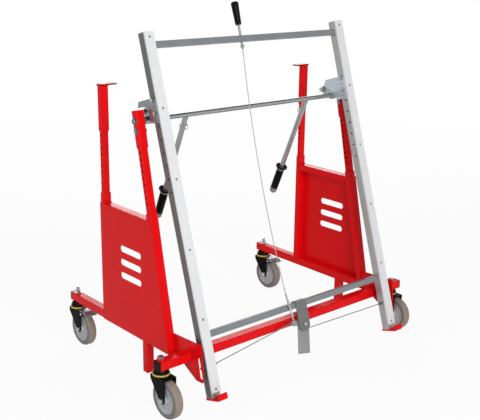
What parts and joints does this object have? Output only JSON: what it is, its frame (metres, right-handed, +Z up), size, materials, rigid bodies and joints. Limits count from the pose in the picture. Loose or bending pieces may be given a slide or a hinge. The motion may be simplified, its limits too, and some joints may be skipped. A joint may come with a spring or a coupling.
{
  "type": "tilting panel cart",
  "caption": "Panel cart on swivel castors: red side frames carry a tilting rail frame on telescopic posts, with panel hooks, handles and a cable-released latch.",
  "frame": {"origin": "on the floor, under the centre of the cart's bounding box", "axes": "+X to the cart's right, +Y to its back (the hooks are at -Y), +Z up"},
  "size_m": [1.13, 0.8058, 1.223],
  "materials": {
    "red_paint": "gloss powder coat",
    "plug_plastic": "matt",
    "zinc_bolt": "zinc plated",
    "dome_plastic": "satin",
    "ring_plastic": "gloss",
    "rail_steel": "galvanised",
    "strip_plastic": "matt",
    "bracket_zinc": "bright zinc",
    "grip_rubber": "matt",
    "bright_steel": "bright drawn",
    "fork_black": "satin black",
    "wheel_plastic": "moulded",
    "tread_rubber": "non-marking grey",
    "pedal_steel": "zinc plated"
  },
  "bodies": {
    "chassis": {"chassis_bar_left": "red_paint", "chassis_bar_right": "red_paint", "rear_post_left": "red_paint", "rear_post_right": "red_paint", "front_post_left": "red_paint", "front_post_right": "red_paint", "top_rails": "red_paint", "side_panel_left": "red_paint", "side_panel_right": "red_paint", "front_beam": "red_paint", "guide_plates": "red_paint", "socket_tubes": "red_paint", "tube_plugs": "plug_plastic", "clamp_screws": "zinc_bolt", "castor_stems": "zinc_bolt", "castor_domes": "dome_plastic", "castor_rings": "ring_plastic"},
    "front_lift": {"front_inner_tubes": "red_paint", "front_heads": "red_paint", "pivot_bolts": "zinc_bolt"},
    "rear_lift_left": {"rear_inner_left": "red_paint", "rear_head_left": "red_paint"},
    "rear_lift_right": {"rear_inner_right": "red_paint", "rear_head_right": "red_paint"},
    "tilt_frame": {"rail_left": "rail_steel", "rail_right": "rail_steel", "wear_strips": "strip_plastic", "strip_screws": "zinc_bolt", "hooks": "red_paint", "top_cross_member": "rail_steel", "bottom_cross_member": "rail_steel", "pivot_brackets": "bracket_zinc", "crossbar": "bracket_zinc", "handle_tubes": "bracket_zinc", "handle_grips": "grip_rubber", "handle_pins": "zinc_bolt", "latch_plate": "rail_steel", "frame_bolts": "zinc_bolt", "latch_springs": "bright_steel"},
    "pull": {"pull_rod": "bright_steel", "pull_grip": "grip_rubber", "release_cable": "bright_steel", "turnbuckle": "bright_steel"},
    "lever": {"release_lever": "rail_steel"},
    "latch_left": {"latch_bolt_left": "bright_steel"},
    "latch_right": {"latch_bolt_right": "bright_steel"},
    "castor_front_left": {"castor_fork_front_left": "fork_black"},
    "wheel_front_left": {"wheel_core_front_left": "wheel_plastic", "wheel_tyre_front_left": "tread_rubber"},
    "castor_front_right": {"castor_fork_front_right": "fork_black"},
    "wheel_front_right": {"wheel_core_front_right": "wheel_plastic", "wheel_tyre_front_right": "tread_rubber"},
    "castor_rear_left": {"castor_fork_rear_left": "fork_black"},
    "wheel_rear_left": {"wheel_core_rear_left": "wheel_plastic", "wheel_tyre_rear_left": "tread_rubber"},
    "pedal_rear_left": {"brake_pedal_rear_left": "pedal_steel"},
    "castor_rear_right": {"castor_fork_rear_right": "fork_black"},
    "wheel_rear_right": {"wheel_core_rear_right": "wheel_plastic", "wheel_tyre_rear_right": "tread_rubber"},
    "pedal_rear_right": {"brake_pedal_rear_right": "pedal_steel"}
  },
  "joints": [
    {"name": "front_lift_slide", "type": "slide", "parent": "chassis", "child": "front_lift", "axis": [0, 0.2079, 0.9781], "range_m": [0, 0.12]},
    {"name": "rear_lift_left_slide", "type": "slide", "parent": "chassis", "child": "rear_lift_left", "axis": [0, 0, 1], "range_m": [-0.16, 0]},
    {"name": "rear_lift_right_slide", "type": "slide", "parent": "chassis", "child": "rear_lift_right", "axis": [0, 0, 1], "range_m": [-0.16, 0]},
    {"name": "frame_tilt", "type": "hinge", "parent": "front_lift", "child": "tilt_frame", "pos_m": [0, -0.03262, 0.876], "axis": [-1, 0, 0], "range_deg": [0, 60]},
    {"name": "pull_slide", "type": "slide", "parent": "tilt_frame", "child": "pull", "axis": [0, 0.2975, 0.9547], "range_m": [-0.03, 0]},
    {"name": "lever_turn", "type": "hinge", "parent": "tilt_frame", "child": "lever", "pos_m": [0, -0.32369, 0.17799], "axis": [0, -0.9547, 0.2975], "range_deg": [0, 36.6]},
    {"name": "latch_left_slide", "type": "slide", "parent": "tilt_frame", "child": "latch_left", "axis": [-1, 0, 0], "range_m": [0, 0.0136]},
    {"name": "latch_right_slide", "type": "slide", "parent": "tilt_frame", "child": "latch_right", "axis": [1, 0, 0], "range_m": [0, 0.0136]},
    {"name": "castor_front_left_swivel", "type": "hinge", "parent": "chassis", "child": "castor_front_left", "pos_m": [-0.535, -0.24862, 0.1337], "axis": [0, 0, 1], "continuous": true},
    {"name": "wheel_front_left_roll", "type": "hinge", "parent": "castor_front_left", "child": "wheel_front_left", "pos_m": [-0.535, -0.28262, 0.0625], "axis": [1, 0, 0], "continuous": true},
    {"name": "castor_front_right_swivel", "type": "hinge", "parent": "chassis", "child": "castor_front_right", "pos_m": [0.535, -0.24862, 0.1337], "axis": [0, 0, 1], "continuous": true},
    {"name": "wheel_front_right_roll", "type": "hinge", "parent": "castor_front_right", "child": "wheel_front_right", "pos_m": [0.535, -0.28262, 0.0625], "axis": [1, 0, 0], "continuous": true},
    {"name": "castor_rear_left_swivel", "type": "hinge", "parent": "chassis", "child": "castor_rear_left", "pos_m": [-0.452, 0.37438, 0.1337], "axis": [0, 0, 1], "continuous": true},
    {"name": "wheel_rear_left_roll", "type": "hinge", "parent": "castor_rear_left", "child": "wheel_rear_left", "pos_m": [-0.452, 0.34038, 0.0625], "axis": [1, 0, 0], "continuous": true},
    {"name": "pedal_rear_left_press", "type": "hinge", "parent": "castor_rear_left", "child": "pedal_rear_left", "pos_m": [-0.452, 0.31838, 0.128], "axis": [1, 0, 0], "range_deg": [0, 12]},
    {"name": "castor_rear_right_swivel", "type": "hinge", "parent": "chassis", "child": "castor_rear_right", "pos_m": [0.452, 0.37438, 0.1337], "axis": [0, 0, 1], "continuous": true},
    {"name": "wheel_rear_right_roll", "type": "hinge", "parent": "castor_rear_right", "child": "wheel_rear_right", "pos_m": [0.452, 0.34038, 0.0625], "axis": [1, 0, 0], "continuous": true},
    {"name": "pedal_rear_right_press", "type": "hinge", "parent": "castor_rear_right", "child": "pedal_rear_right", "pos_m": [0.452, 0.31838, 0.128], "axis": [1, 0, 0], "range_deg": [0, 12]}
  ],
  "couplings": [
    {"joint": "lever_turn", "follows": "pull_slide", "rad_per_m": -21.277},
    {"joint": "latch_left_slide", "follows": "pull_slide", "ratio": -0.45333},
    {"joint": "latch_right_slide", "follows": "pull_slide", "ratio": -0.45333}
  ]
}
